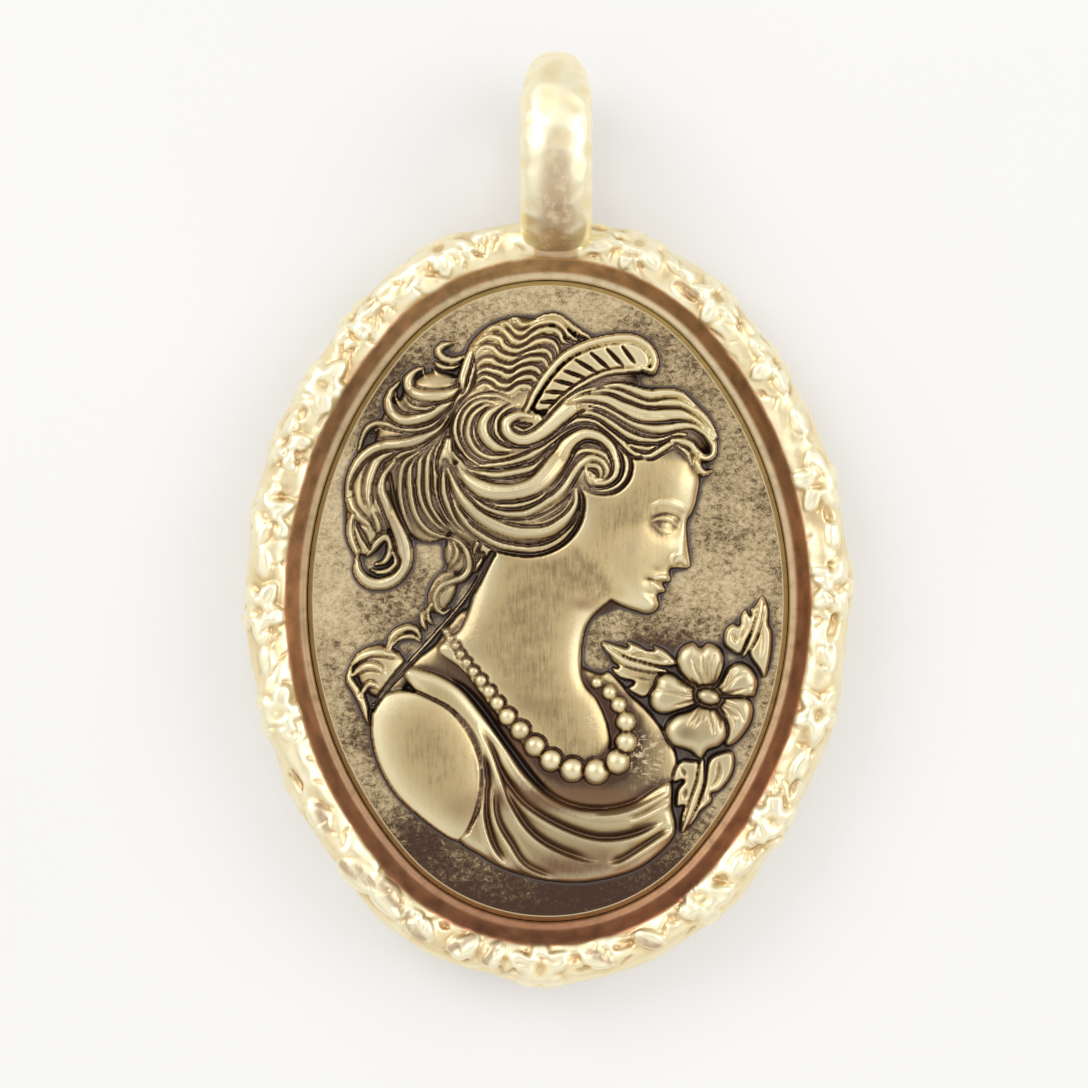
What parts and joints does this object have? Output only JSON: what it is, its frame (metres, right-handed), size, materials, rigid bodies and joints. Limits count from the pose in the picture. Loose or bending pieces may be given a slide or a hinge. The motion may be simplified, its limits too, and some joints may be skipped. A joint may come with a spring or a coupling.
{
  "type": "cameo pendant",
  "caption": "Oval pendant: a relief cameo set in a closed frame with a flower wreath rim and a broad hammered bail for a chain or cord.",
  "frame": {"origin": "centre of the flat back, on the back plane", "axes": "+X to the right as the pendant is seen from the front, +Y up towards the bail, +Z out of the face"},
  "size_m": [0.0384, 0.058, 0.0102],
  "materials": {
    "gilt": "satin polished gilt",
    "antique_brass": "antiqued, dark in the recesses, brushed on the raised parts"
  },
  "bodies": {
    "root": {"frame": "gilt", "cameo": "antique_brass"}
  },
  "joints": []
}
